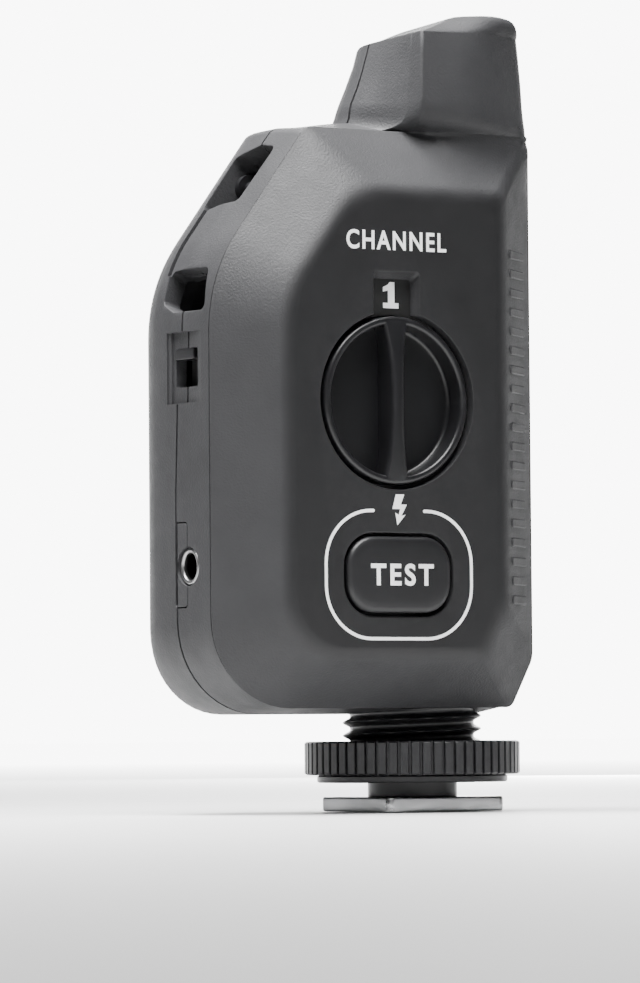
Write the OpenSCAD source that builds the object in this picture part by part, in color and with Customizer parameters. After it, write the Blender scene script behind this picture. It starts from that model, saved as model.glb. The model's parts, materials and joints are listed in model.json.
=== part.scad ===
// Wireless flash trigger for a camera's hot shoe.
// The body stands on a threaded post. A knurled ring on the post clamps the foot in the shoe.
// Row frame: origin at the centre of the foot's underside, +Z up, the panel faces -Y.
// Body parts are drawn in body coordinates: X from the dial's axis, Y is the depth behind
// the panel's face, Z from the underside of the body.

/* [Body] */
// Distance from the dial's axis to the left side
left_w = 24.8; // [24.4:0.2:26]
// Distance from the dial's axis to the right side
right_w = 25.7; // [25.2:0.1:26.4]
// Height of the shoulder above the underside
top_z = 77.8; // [76:0.2:79]
// Depth from the panel's face to the back
body_d = 33; // [32.6:0.1:34]
// Depth of the crease between the front facets and the side band
crease_d = 7.1; // [6.5:0.1:7.6]
// Depth of the joint between the two shells
part_d = 16.3; // [16:0.1:16.6]
// Thickness of the shells
wall = 1.9; // [1.7:0.1:2]
// Slope of the left shoulder, in degrees from horizontal
shoulder_a = 53.7; // [52:0.1:55]
// Radius of the rear corners along the sides
rear_r = 13.5; // [12.5:0.5:14]

/* [Antenna stub] */
// Height of the stub's top above the underside of the body
stub_z = 94.2; // [93:0.2:96]
// Left wall of the stub
stub_left = 6.1; // [5.6:0.1:6.6]
// Right edge of the stub at its top
stub_right = 22.2; // [21.6:0.1:22.8]

/* [Dial and window] */
// Height of the dial's axis
dial_z = 40.9; // [40.5:0.1:41.3]
// Radius of the opening around the dial
dial_bore_r = 11.9; // [11.8:0.05:12]
// Radius of the dial knob
knob_r = 11.4; // [11.2:0.05:11.5]
// Radius of the number disc
disc_r = 16.9; // [16.7:0.1:17]
// Width of the number window
window_w = 6.6; // [6:0.1:7]
// Height of the window's top edge above the dial's axis
window_top = 16.6; // [16:0.1:16.7]

/* [Test button] */
// Height of the button's centre
button_z = 17.65; // [17.4:0.05:17.8]
// Width of the button's opening
button_w = 16.9; // [16.4:0.1:17.2]
// Height of the button's opening
button_h = 11; // [10.6:0.1:11]

/* [Foot and ring] */
// Height of the body's underside above the foot's underside
body_z = 14; // [13.8:0.1:14.6]
// Distance from the dial's axis to the post's axis
foot_x = 11.9; // [11.5:0.1:12]
// Width of the foot plate, across the shoe
foot_w = 18.6; // [18.4:0.05:18.65]
// Length of the foot plate, along the shoe
foot_l = 18; // [17.5:0.1:18]
// Thickness of the foot plate
foot_t = 2; // [1.9:0.05:2.05]
// Outer radius of the thread
thread_r = 9.45; // [9.3:0.05:9.5]
// Distance between the thread's turns
pitch = 1.75; // [1.5:0.05:1.8]
// Outer radius of the lock ring
ring_r = 14.7; // [14.4:0.05:14.75]
// Height of the lock ring
ring_h = 4.57; // [4.4:0.01:4.6]
// Number of ridges around the lock ring
ridges = 60; // [48:4:72]

/* [Hidden] */
$fn = 48;
eps = 0.01;
gap = 0.1;

// Outline of the body
panel_in = 8;            // the panel's edge lies this far inside the crease
panel_top = 8.9;
panel_bottom = 7;
shoulder_x = -9.8;       // where the slope meets the top
shoulder_z = 77.8;
elbow_r = 23;            // between the left side and the slope
corner_r = 12;           // lower left corner
cut_x = 3.5;             // slanted lower right corner
cut_z = 6.7;
draft = 0.4;             // the side band widens to the parting line
rear_top_r = 9;
rear_bottom_r = 6;

// Side features, in body coordinates
strap_d = [10, 19.6];    // depth of the strap openings, front and rear
strap_low = 52.9;        // lower end of the lower opening
strap_bar = [58.7, 67.4];// the bar's ends
strap_high = 75.4;       // upper end of the upper opening
bar_t = 2.4;             // thickness of the bar
strap_clear = 6.4;       // room behind the bar
switch_d = [9.4, 18.3];
switch_z = [40.7, 50.2];
slot_d = [10.4, 16.2];
slot_z = [42.8, 48];
nub_l = 1.5;             // height of the slider's nub
jack_d = 12.8;
jack_z = 18.9;
jack_r = 1.8;            // bore for a 3.5 mm plug
jack_rim_r = 2.45;
jack_l = 14;
plate_z = [13.4, 24.9];
usb_d = 12;
usb_z = 30;

// Inner layout
disc_front = 1.6;        // the front wall is thinner over the disc
disc_t = 0.9;
board_d = 11.5;
board_t = 1.6;
cell_r = 7.1;
cell_l = 49.5;
cell_z = 7.2;
cell_d = 24;
cell_mid = 0.5;
door_d = 31.35;          // inner face of the battery door
door_half = 16;
door_top = 61;
post_neck_r = 6.1;
thread_z = 4;            // lowest turn
washer_t = 1.05;
washer_z = 3.92;
ring_z = 5;
ring_bore_r = thread_r + 0.15;
knurl_d = 0.45;
flush = 0.05;            // the insulator and the pin sit this far above the foot's underside

// ---- outlines ----

function unit(v) = v / norm(v);

// Points of an arc of radius r that rounds corner b between a and c
function corner_arc(a, b, c, r, n) =
    let (u = unit(a - b), v = unit(c - b), half = acos(u * v) / 2,
         centre = b + unit(u + v) * r / sin(half),
         start = b + u * r / tan(half) - centre,
         finish = b + v * r / tan(half) - centre,
         a0 = atan2(start.y, start.x),
         sweep = (atan2(finish.y, finish.x) - a0 + 540) % 360 - 180)
    [for (i = [0:n]) centre + r * [cos(a0 + sweep * i / n), sin(a0 + sweep * i / n)]];

// Polygon with each corner rounded to its own radius
function rounded(pts, radii, n = 6) =
    let (k = len(pts))
    [for (i = [0:k - 1])
        each corner_arc(pts[(i + k - 1) % k], pts[i], pts[(i + 1) % k], radii[i], n)];

// Outline of the body, seen from the front, drawn in from the crease by the given amounts
function outline(side, top, bottom, shoulder_r) =
    let (xl = side - left_w, xr = right_w - side * 1.1, zt = top_z - top,
         p = [shoulder_x, shoulder_z] + side * [sin(shoulder_a), -cos(shoulder_a)],
         elbow = [xl, p.y + (xl - p.x) * tan(shoulder_a)],
         shoulder = [p.x + (zt - p.y) / tan(shoulder_a), zt])
    rounded([[xl, bottom], [xr - cut_x, bottom], [xr, bottom + cut_z], [xr, zt], shoulder,
             elbow],
            [max(corner_r - side * 0.5, 4), 1.5, 4, 1.4, shoulder_r, max(elbow_r - side, 6)], 4);

// Thin slice of an outline, whose front face is at the given depth
module slice(points, depth)
    translate([0, depth + eps, 0])
        rotate([90, 0, 0])
            linear_extrude(eps)
                polygon(points);

// How far the surface has curved in at a depth, for a rear corner of radius r
function rear_in(depth, r) =
    let (past = max(depth - (body_d - r), 0))
    r - sqrt(max(r * r - past * past, 0));

// Closed form between the panel and the parting line, moved inwards by t and run past the
// parting line by over
module front_form(t, panel_depth, over = 0) {
    hull() {
        slice(outline(panel_in + t * 0.6, panel_top + t * 0.6, panel_bottom + t * 0.6, 9),
              panel_depth);
        slice(outline(t, t, t, 2), crease_d + t * 0.35);
        slice(outline(t - draft, t - 0.6, t - 0.7, 2), part_d + over - eps);
    }
}

// Closed form between the parting line and the back
module rear_form() {
    hull() {
        slice(outline(-draft, -0.6, -0.7, 2), part_d);
        for (turn = [0:22.5:90]) {
            depth = body_d - eps - rear_r * (1 - sin(turn));
            slice(outline(rear_in(depth, rear_r) - draft, rear_in(depth, rear_top_r) - 0.6,
                          rear_in(depth, rear_bottom_r) - 0.7, 2), depth);
        }
    }
}

// Room inside the rear shell, in steps that follow its rounded corners:
// [how far in from the sides, the top and the bottom, depth]
rear_steps = [[wall - draft, wall, wall, 24],
              [wall + 4, wall + 3, wall, 29],
              [wall + 8, wall + 5, wall + 3, body_d - wall]];

module rear_room()
    for (step = rear_steps)
        along_depth(part_d - 1, step[3])
            polygon(outline(step[0], step[1], step[2], 2));

// Plan of the antenna stub, from x0 at the front and xr at the rear to x1
function stub_plan(x0, xr, x1, front, back) =
    rounded([[x0, front + 3], [xr, back], [x1, back], [x1, front + 3.6],
             [(x0 + x1) / 2, front]],
            [0.6, 7, 7, 4, 12], 4);

module stub_slice(points, z)
    translate([0, 0, z])
        linear_extrude(eps)
            polygon(points);

// The whole antenna stub
module stub_form() {
    hull() {
        stub_slice(stub_plan(4, 2.6, right_w - 0.2, -0.3, 29), top_z - 9);
        stub_slice(stub_plan(stub_left, 3.4, right_w - 0.5, 0.5, 28), top_z + 2);
        stub_slice(stub_plan(stub_left, stub_left, stub_right, 2.2, 25), stub_z - 2.6);
        stub_slice(stub_plan(stub_left + 5, stub_left + 5, stub_right - 1.5, 3.2, 23.5),
                   stub_z - eps);
    }
}

// Room for the antenna inside the stub
module stub_room()
    translate([stub_left + 2, 6, top_z - 8])
        cube([stub_right - stub_left - 4.4, 16.5, stub_z - top_z + 5.5]);

module front_half() translate([-60, -5, -10]) cube([120, part_d + 5, 120]);

module rear_half() translate([-60, part_d, -10]) cube([120, 60, 120]);

// Prism along the depth, between two depths, of a shape seen from the front
module along_depth(d0, d1)
    translate([0, d1, 0])
        rotate([90, 0, 0])
            linear_extrude(d1 - d0)
                children();

// Cylinder along the depth
module rod_y(r, d0, d1) translate([0, d0, 0]) rotate([-90, 0, 0]) cylinder(r = r, h = d1 - d0);

// Places body coordinates in the row frame
module in_body() translate([-foot_x, -part_d, body_z]) children();

// Band that follows the left side and shoulder, from depth a to depth b inside the surface
module shoulder_band(a, b, z0, z1)
    intersection() {
        difference() {
            polygon(outline(a, a, a, 2));
            polygon(outline(b, b, b, 2));
        }
        translate([-40, z0]) square([40 + shoulder_x + 4, z1 - z0]);
    }

// Void behind the strap bar, with its two mouths
module strap_void() {
    along_depth(strap_d[0], strap_d[1]) {
        shoulder_band(bar_t, bar_t + strap_clear, strap_low, strap_high);
        shoulder_band(-3, bar_t + eps, strap_low, strap_bar[0]);
        shoulder_band(-3, bar_t + eps, strap_bar[1], strap_high);
    }
}

// Walls around the strap void
module strap_walls()
    along_depth(strap_d[0] - 1.3, strap_d[1] + 1.3)
        shoulder_band(1, bar_t + strap_clear + 1.3, strap_low - 1.3, strap_high + 1.3);

// Space that the strap walls fill, with a little room around them
module strap_room()
    along_depth(strap_d[0] - 2, strap_d[1] + 2)
        shoulder_band(-3, bar_t + strap_clear + 1.6, strap_low - 1.6, strap_high + 1.6);

module rounded_rect(w, h, r) {
    polygon(rounded([[-w / 2, -h / 2], [w / 2, -h / 2], [w / 2, h / 2], [-w / 2, h / 2]],
                    [r, r, r, r]));
}

// Openings on the left side, shared by both shells
module side_cuts() {
    translate([-left_w - 2, switch_d[0], switch_z[0]])
        cube([2 + 0.55, switch_d[1] - switch_d[0], switch_z[1] - switch_z[0]]);
    translate([-left_w - 2, slot_d[0], slot_z[0]])
        cube([6, slot_d[1] - slot_d[0], slot_z[1] - slot_z[0]]);
    translate([-left_w - 2, jack_d, jack_z])
        rotate([0, 90, 0])
            cylinder(r = jack_rim_r + 0.1, h = 6);
}

// Socket opening on the right side
module usb_cut()
    translate([right_w - 4, usb_d - 4.2, usb_z - 2])
        cube([8, 8.4, 4]);

// Opening of the body's underside around the post's neck
module post_cut()
    translate([foot_x, part_d, -3])
        cylinder(r = 8, h = 6);

// Screw post inside the shells
screw_at = [[-19.5, 10], [20.5, 10], [-10.5, 70.5], [21.5, 66]];

module screw_posts(d0, d1)
    for (p = screw_at)
        translate([p[0], 0, p[1]])
            rod_y(2.6, d0, d1);

// ---- shells ----

module front_shell() {
    color("#2b2b2d")
    in_body()
    difference() {
        union() {
            difference() {
                union() {
                    front_form(0, 0);
                    intersection() {
                        stub_form();
                        front_half();
                    }
                }
                front_form(wall, disc_front + 0.9, 1);
                stub_room();
            }
            intersection() {
                strap_walls();
                front_half();
            }
            screw_posts(crease_d, part_d);
        }
        strap_void();
        side_cuts();
        usb_cut();
        post_cut();
        translate([-left_w - 2, jack_d, plate_z[0]])
            cube([2 + wall + 0.4, 10, plate_z[1] - plate_z[0]]);
        translate([0, 0, dial_z])
            rod_y(dial_bore_r, -2, 6);
        translate([0, 0, dial_z])
            rod_y(disc_r + 0.4, disc_front, 4);
        along_depth(-1, 3)
            translate([-window_w / 2, dial_z])
                square([window_w, window_top]);
        along_depth(-1, 6)
            translate([0, button_z])
                rounded_rect(button_w, button_h, 4.4);
        for (p = screw_at)
            translate([p[0], 0, p[1]])
                rod_y(1, part_d - 7, part_d + 1);
    }
}

// Cross-section of the battery door, a dovetail that slides in the rear shell
module door_section(c) {
    polygon([[cell_mid - door_half - c, door_d - c], [cell_mid + door_half + c, door_d - c],
             [cell_mid + door_half - 1 + c, body_d + 2], [cell_mid - door_half + 1 - c,
             body_d + 2]]);
}

module rear_shell() {
    color("#2b2b2d")
    in_body()
    difference() {
        union() {
            difference() {
                union() {
                    rear_form();
                    intersection() {
                        stub_form();
                        rear_half();
                    }
                }
                rear_room();
                stub_room();
            }
            intersection() {
                strap_walls();
                rear_half();
            }
            screw_posts(part_d, 27);
        }
        strap_void();
        side_cuts();
        usb_cut();
        post_cut();
        translate([0, 0, -5])
            linear_extrude(door_top + 5 + gap)
                door_section(gap);
        translate([cell_mid - door_half + 1.7, 28, 5])
            cube([2 * door_half - 3.4, 10, door_top - 8]);
        for (p = screw_at)
            translate([p[0], 0, p[1]]) {
                rod_y(1.2, part_d - 1, body_d + 1);
                rod_y(2.1, part_d + 4, body_d + 1);
            }
    }
}

module battery_door() {
    color("#2b2b2d")
    in_body()
    intersection() {
        rear_form();
        translate([0, 0, -5])
            linear_extrude(door_top + 5)
                door_section(0);
    }
}

// ---- left side: jack, power slider ----

// Insert between the front shell's notch and the parting line, behind the jack
module jack_plate() {
    color("#2b2b2d")
    in_body()
    difference() {
        translate([-left_w - 0.15, jack_d + 0.05, plate_z[0] + gap])
            cube([wall + 0.4, part_d - jack_d - 0.1, plate_z[1] - plate_z[0] - 2 * gap]);
        translate([-left_w - 2, jack_d, jack_z])
            rotate([0, 90, 0])
                cylinder(r = jack_rim_r + 0.1, h = 6);
    }
}

module jack_barrel() {
    color("silver")
    in_body()
    translate([-left_w - 0.1, jack_d, jack_z])
        rotate([0, 90, 0])
            difference() {
                union() {
                    cylinder(r = jack_rim_r, h = 3);
                    cylinder(r = jack_rim_r - 0.25, h = jack_l);
                }
                translate([0, 0, -1])
                    cylinder(r = jack_r, h = jack_l + 2);
            }
}

module jack_body() {
    color("#161616")
    in_body()
    difference() {
        translate([-left_w + 3, jack_d - 4.3, jack_z - 4])
            cube([jack_l - 1, board_d - jack_d + 4.3, 8]);
        translate([-left_w, jack_d, jack_z])
            rotate([0, 90, 0])
                cylinder(r = jack_rim_r - 0.25, h = 14.5);
    }
}

module usb_socket() {
    color("silver")
    in_body()
    difference() {
        translate([right_w - 10.2, usb_d - 3.9, usb_z - 1.8])
            cube([10, 3.3, 3.6]);
        translate([right_w - 6.2, usb_d - 3.5, usb_z - 1.4])
            cube([7, 2.5, 2.8]);
    }
}

module power_switch() {
    color("#1a1a1a")
    in_body()
    difference() {
        translate([-left_w + wall + 0.6, board_d - 2.3, slot_z[0] - 2])
            cube([3.6, 7, slot_z[1] - slot_z[0] + 4]);
        translate([-left_w + wall, board_d - 0.6, slot_z[0] - 0.2])
            cube([2.6, 3.6, slot_z[1] - slot_z[0] + 0.4]);
    }
}

// The nub rests at the slot's upper end and slides down to switch on
module power_slider() {
    color("#1c1c1d")
    in_body()
    translate([0, 0, slot_z[1] - nub_l]) {
        translate([-left_w + 0.15, slot_d[0] + 1.3, -0.1])
            cube([wall + 0.35, slot_d[1] - slot_d[0] - 1.4, nub_l]);
        translate([-left_w + wall + 0.45, board_d - 0.4, -0.8])
            cube([1.9, 3.2, nub_l + 0.8]);
    }
}

// ---- electronics ----

module main_board() {
    color("#1f4a33")
    in_body()
    difference() {
        along_depth(board_d, board_d + board_t)
            polygon(rounded([[-16, 7], [16, 7], [16, 14], [22.3, 14], [22.3, 60], [18.5, 64],
                             [4, 64], [-8.5, 50.5], [-18.3, 50.5], [-18.3, 25], [-16, 25],
                             [-16, jack_z + 3], [-10.4, jack_z + 3], [-10.4, jack_z - 3],
                             [-16, jack_z - 3]],
                            [for (i = [0:14]) 0.5], 2));
        for (p = board_at)
            translate([p[0], 0, p[1]])
                rod_y(1.1, board_d - 1, board_d + 3);
        translate([0, 0, dial_z])
            rod_y(1.2, board_d - 1, board_d + 3);
    }
}

board_at = [[-15.5, 36], [18, 50]];

module radio_module() {
    color("#b9bcc0")
    in_body() {
        translate([7, board_d - 2.6, 60])
            cube([11.4, 2.6, 3.8]);
        translate([8, board_d - 2.9, 60.8])
            cube([9.4, 0.3, 2.2]);
    }
}

module controller_chip() {
    color("#141414")
    in_body()
    translate([-12, board_d + board_t, 24]) {
        cube([9, 1.2, 9]);
        for (i = [0:7])
            translate([0.75 + i * 1.02, 0, -0.8])
                cube([0.35, 0.25, 10.6]);
    }
}

module trigger_capacitors() {
    color("#20242c")
    in_body()
    for (x = [12.5, 17.4])
        translate([x, 0, 17])
            rod_y(2.2, board_d - 6, board_d);
}

module rotary_switch() {
    color("#1b1b1b")
    in_body()
    translate([0, 0, dial_z])
        difference() {
            union() {
                rod_y(7, board_d - 2.7, board_d);
                rod_y(1.1, board_d - 1, board_d + 2.4);
            }
            rod_y(3.05, board_d - 3, board_d - 0.6);
        }
}

// Shaft with a flat, driven by the dial
module dial_shaft() {
    color("#c9c3b0")
    in_body()
    translate([0, 0, dial_z])
        difference() {
            rod_y(3, 5.4, board_d - 0.7);
            translate([-4, 5, 1.6])
                cube([8, 3, 3]);
        }
}

// Half of a D-shaped finger recess, seen from the front
module grip_recess()
    difference() {
        circle(r = knob_r - 1.1);
        translate([-20, -20])
            square([21.1, 40]);
    }

module channel_dial() {
    color("#161617")
    in_body()
    translate([0, 0, dial_z])
        difference() {
            union() {
                rod_y(knob_r, 0.45, disc_front + disc_t + 0.15);
                rod_y(knob_r + 2, disc_front + disc_t + 0.15, 4.8);
                rod_y(4.6, 4.5, 8);
            }
            for (side = [0, 180])
                rotate([0, side, 0])
                    along_depth(-1, 3.55)
                        grip_recess();
            difference() {
                rod_y(3, 5.4, 9);
                translate([-4, 5, 1.6])
                    cube([8, 3, 3]);
            }
        }
}

module number_disc() {
    color("#101010")
    in_body()
    translate([0, 0, dial_z])
        difference() {
            rod_y(disc_r, disc_front + 0.1, disc_front + 0.1 + disc_t);
            rod_y(knob_r, 0, 5);
        }
}

module test_button() {
    color("#1a1a1b")
    in_body()
    translate([0, 0, button_z]) {
        along_depth(-0.5, 2.6)
            rounded_rect(button_w - 0.8, button_h - 0.8, 4);
        along_depth(2.6, 3.6)
            translate([-9.6, -6.9])
                square([19.2, 12]);
        rod_y(2, 3.5, board_d - 4.5);
    }
}

module tact_plunger() {
    color("#d8d2c0")
    in_body()
    translate([0, 0, button_z])
        rod_y(1.75, board_d - 4.5, board_d - 2.3);
}

module tact_switch() {
    color("#1b1b1b")
    in_body()
    translate([0, 0, button_z])
        difference() {
            translate([-3, board_d - 3.5, -3])
                cube([6, 3.5, 6]);
            rod_y(1.85, board_d - 4, board_d - 1);
        }
}

module status_lamp() {
    color("#c8382c")
    in_body()
    translate([6.5, board_d - 1.1, button_z + 1])
        cube([1.6, 1.1, 3]);
}

// Printed outline around the button, and the sign in its gap
print_t = 0.06;

module panel_print() {
    color("white")
    in_body()
    along_depth(-print_t, 0) {
        translate([0, button_z])
            difference() {
                rounded_rect(23.1, 17.3, 7.2);
                rounded_rect(22.3, 16.5, 6.8);
                translate([-4, 5])
                    square([8, 5]);
            }
        translate([0.1, 26.5])
            polygon([[-0.6, 1.9], [0.7, 1.9], [0.2, 0.7], [1.1, 0.7], [0.3, -0.9], [0.9, -0.7],
                     [-0.4, -2], [-0.6, -0.5], [-0.1, -0.8], [0.1, 0], [-1.1, 0]]);
    }
}

// Coil antenna on a rod inside the stub
module antenna_coil() {
    color("#b87333")
    in_body()
    translate([14, 13.4, 0]) {
        translate([0, 0, 66])
            cylinder(r = 1.2, h = 25);
        for (z = [70:2:88])
            translate([0, 0, z])
                rotate_extrude()
                    translate([3, 0])
                        circle(r = 0.45, $fn = 16);
        for (z = [69.6, 88.4])
            translate([0, 0, z])
                cylinder(r = 3.4, h = 0.8);
    }
}

// ---- battery compartment ----

cells_at = [cell_mid - 7.4, cell_mid + 7.4];
tray_z0 = 4.3;
tray_z1 = 60;

module battery_tray() {
    color("#202021")
    in_body() {
        difference() {
            translate([cell_mid - 15.6, 15.2, tray_z0])
                cube([31.2, 7.7, tray_z1 - tray_z0]);
            strap_room();
            translate([foot_x, part_d, tray_z0 - 1])
                cylinder(r = 10.6, h = 2);
            for (x = cells_at)
                translate([x, cell_d, tray_z0 + 1])
                    cylinder(r = cell_r + 0.3, h = tray_z1 - tray_z0 - 2);
            translate([cell_mid - 14.4, 21, tray_z0 + 1])
                cube([28.8, 3, tray_z1 - tray_z0 - 2]);
        }
    }
}

module battery_cell(x, up) {
    in_body()
    translate([x, cell_d, cell_z + cell_l / 2])
        rotate([up ? 0 : 180, 0, 0])
            translate([0, 0, -cell_l / 2]) {
                cylinder(r = cell_r, h = cell_l - 1);
                cylinder(r = 2.7, h = cell_l);
            }
}

module battery_cell_left() color("#3c5f86") battery_cell(cells_at[0], true);

module battery_cell_right() color("#3c5f86") battery_cell(cells_at[1], false);

// Conical springs, one at each cell's flat end
module battery_spring(x, z0, z1) {
    rings = 3;
    step = (z1 - z0) / rings;
    for (i = [0:rings - 1])
        translate([x, cell_d, z0 + step * (i + 0.5)])
            rotate_extrude()
                translate([4.6 - i * 0.9, 0])
                    square([0.6, abs(step) * 0.9], center = true);
}

module battery_springs() {
    color("silver")
    in_body() {
        battery_spring(cells_at[0], tray_z0 + 1.05, cell_z);
        battery_spring(cells_at[1], tray_z1 - 1.05, cell_z + cell_l);
    }
}

module battery_contacts() {
    color("silver")
    in_body() {
        for (x = cells_at) {
            translate([x - 5, cell_d - 1, tray_z0 + 0.6])
                cube([10, 6, 0.4]);
            translate([x - 5, cell_d - 1, tray_z1 - 1])
                cube([10, 6, 0.4]);
        }
    }
}

// ---- fasteners ----

module shell_screws() {
    color("#3a3a3c")
    in_body()
    for (p = screw_at)
        translate([p[0], 0, p[1]])
            difference() {
                union() {
                    rod_y(1, part_d - 6, part_d + 4.1);
                    rod_y(2, part_d + 4, part_d + 5.6);
                }
                rod_y(0.8, part_d + 4.9, part_d + 6);
            }
}

module board_screws() {
    color("silver")
    in_body()
    for (p = board_at)
        translate([p[0], 0, p[1]]) {
            rod_y(1, board_d - 3, board_d + board_t);
            rod_y(1.9, board_d + board_t, board_d + board_t + 0.9);
        }
}

// ---- foot ----

// Thread as a stack of ridges, with the neck below it and the flange held in the shells
module threaded_post() {
    turns = floor((body_z - 0.8 - thread_z) / pitch);
    color("#1a1a1b")
    difference() {
        union() {
            translate([0, 0, foot_t])
                cylinder(r = post_neck_r, h = thread_z - foot_t);
            rotate_extrude()
                polygon([[0, thread_z - 0.1], [thread_r - 1, thread_z - 0.1],
                         for (i = [0:turns - 1]) each [
                             [thread_r - 1, thread_z + pitch * (i + 0.02)],
                             [thread_r, thread_z + pitch * (i + 0.4)],
                             [thread_r, thread_z + pitch * (i + 0.6)],
                             [thread_r - 1, thread_z + pitch * (i + 0.98)]],
                         [thread_r - 1, body_z - 0.8], [0, body_z - 0.8]]);
            translate([0, 0, body_z - 0.9])
                cylinder(r = 7.8, h = 4);
            translate([0, 0, body_z + 2.6])
                cylinder(r = 8.8, h = 1.3);
        }
        translate([0, 0, foot_t - 1])
            cylinder(r = 1.9, h = 11);
        translate([0, 0, foot_t + 9])
            cylinder(r = 0.8, h = 20);
        for (a = [45:90:315])
            rotate([0, 0, a])
                translate([4.3, 0, foot_t - 1])
                    cylinder(r = 0.9, h = 8);
    }
}

module foot_plate() {
    color("silver")
    difference() {
        linear_extrude(foot_t)
            rounded_rect(foot_w, foot_l, 1);
        translate([0, 0, -1])
            cylinder(r = 2.4, h = 5);
        for (a = [45:90:315])
            rotate([0, 0, a])
                translate([4.3, 0, 0]) {
                    translate([0, 0, -1])
                        cylinder(r = 0.95, h = 5);
                    translate([0, 0, -eps])
                        cylinder(r1 = 1.75, r2 = 0.95, h = 0.9);
                }
    }
}

module foot_screws() {
    color("#8d8f92")
    for (a = [45:90:315])
        rotate([0, 0, a])
            translate([4.3, 0, 0])
                difference() {
                    union() {
                        translate([0, 0, 0.02])
                            cylinder(r1 = 1.68, r2 = 0.88, h = 0.9);
                        translate([0, 0, 0.5])
                            cylinder(r = 0.88, h = 7);
                    }
                    translate([-0.3, -2, -1])
                        cube([0.6, 4, 1.4]);
                }
}

module pin_insulator() {
    color("#111111")
    difference() {
        translate([0, 0, flush])
            cylinder(r = 2.35, h = foot_t - flush);
        translate([0, 0, -1])
            cylinder(r = 1.05, h = foot_t + 2);
    }
}

// Sprung centre contact; it is pushed up by the shoe's own contact
module contact_pin() {
    color("gold")
    union() {
        translate([0, 0, flush])
            cylinder(r = 1, h = 5 - flush);
        translate([0, 0, 2.05])
            cylinder(r = 1.7, h = 1);
    }
}

module contact_spring() {
    color("silver")
    for (z = [3.3:0.9:10])
        translate([0, 0, z])
            rotate_extrude()
                translate([1.4, 0])
                    circle(r = 0.2, $fn = 16);
}

module clamp_washer() {
    color("#161616")
    translate([0, 0, washer_z])
        difference() {
            cylinder(r = 13, h = washer_t);
            translate([0, 0, -1])
                cylinder(r = ring_bore_r, h = 4);
        }
}

// Ring with flat ridges and narrow grooves
module lock_ring() {
    step = 360 / ridges;
    color("#1b1b1c")
    translate([0, 0, ring_z])
        difference() {
            linear_extrude(ring_h)
                polygon([for (i = [0:ridges - 1], q = [[-0.34, 0], [0.34, 0], [0.44, 1], [0.56, 1]])
                    let (a = (i + q[0]) * step, r = ring_r - knurl_d * q[1])
                    [r * cos(a), r * sin(a)]]);
            translate([0, 0, -1])
                cylinder(r = ring_bore_r, h = ring_h + 2);
        }
}

front_shell();
rear_shell();
battery_door();
jack_plate();
jack_barrel();
jack_body();
usb_socket();
main_board();
radio_module();
controller_chip();
trigger_capacitors();
rotary_switch();
dial_shaft();
channel_dial();
number_disc();
tact_switch();
tact_plunger();
test_button();
status_lamp();
panel_print();
power_switch();
power_slider();
antenna_coil();
battery_tray();
battery_cell_left();
battery_cell_right();
battery_springs();
battery_contacts();
shell_screws();
board_screws();
threaded_post();
foot_plate();
foot_screws();
pin_insulator();
contact_pin();
contact_spring();
clamp_washer();
lock_ring();
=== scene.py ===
"""Wireless flash trigger: the visual model, built round the CAD frame.

Shapes are modelled in body millimetres (x from the dial's axis, y the depth behind the panel's
face, z from the underside of the body) and placed in the row frame when each piece is finished.
"""

import json
import math

import bmesh
import bpy
from mathutils import Matrix, Vector


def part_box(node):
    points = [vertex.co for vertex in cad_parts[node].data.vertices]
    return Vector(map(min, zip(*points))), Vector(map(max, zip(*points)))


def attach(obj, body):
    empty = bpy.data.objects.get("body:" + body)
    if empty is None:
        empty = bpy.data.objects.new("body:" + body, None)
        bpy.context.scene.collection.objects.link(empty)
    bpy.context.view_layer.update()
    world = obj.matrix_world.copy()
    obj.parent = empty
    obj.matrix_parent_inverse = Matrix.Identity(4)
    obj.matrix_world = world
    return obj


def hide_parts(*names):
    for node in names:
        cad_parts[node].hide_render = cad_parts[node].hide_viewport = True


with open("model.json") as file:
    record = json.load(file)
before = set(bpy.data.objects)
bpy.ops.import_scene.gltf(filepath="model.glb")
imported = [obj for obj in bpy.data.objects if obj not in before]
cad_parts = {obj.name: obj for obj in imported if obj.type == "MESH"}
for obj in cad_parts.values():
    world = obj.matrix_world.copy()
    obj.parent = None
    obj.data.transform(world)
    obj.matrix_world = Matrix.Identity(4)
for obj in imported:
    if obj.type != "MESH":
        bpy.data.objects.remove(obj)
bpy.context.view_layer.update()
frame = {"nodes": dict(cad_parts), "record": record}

MM = 0.001
DIAL_Z = 40.9
dial_lo, dial_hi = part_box("channel_dial")
print_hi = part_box("panel_print")[1]
ORIGIN = Vector((
    (dial_lo[0] + dial_hi[0]) / 2,
    print_hi[1],
    (dial_lo[2] + dial_hi[2]) / 2 - DIAL_Z * MM,
))
FOOT = -ORIGIN / MM  # the row frame's origin, in body millimetres

# ---------------------------------------- sizes, in millimetres

LEFT_W = 24.8
RIGHT_W = 25.7
TOP_Z = 77.8
BODY_D = 33.0
CREASE_D = 7.1
PART_D = 15.5
WALL = 1.9
SLOPE = math.radians(53.7)
SHOULDER = (-9.8, TOP_Z)
PANEL_IN = 8.0  # how far the panel's edge lies inside the crease: at the sides, top and bottom
PANEL_TOP = 8.9
PANEL_BOTTOM = 7.0
RIGHT_SHARE = 1.1  # the right facet's width as a share of the left one's
REAR_R = 13.5
REAR_TOP_R = 9.0
REAR_BOTTOM_R = 6.0
DRAFT = 0.4  # how far the sides, top and bottom swell past the crease at the shells' joint
DRAFT_TOP = 0.6
DRAFT_BOTTOM = 0.7
TOP_RISE = 1.3
STUB_Z = 94.15
SEAM = 0.19  # half of the gap at a joint between two mouldings

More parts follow.
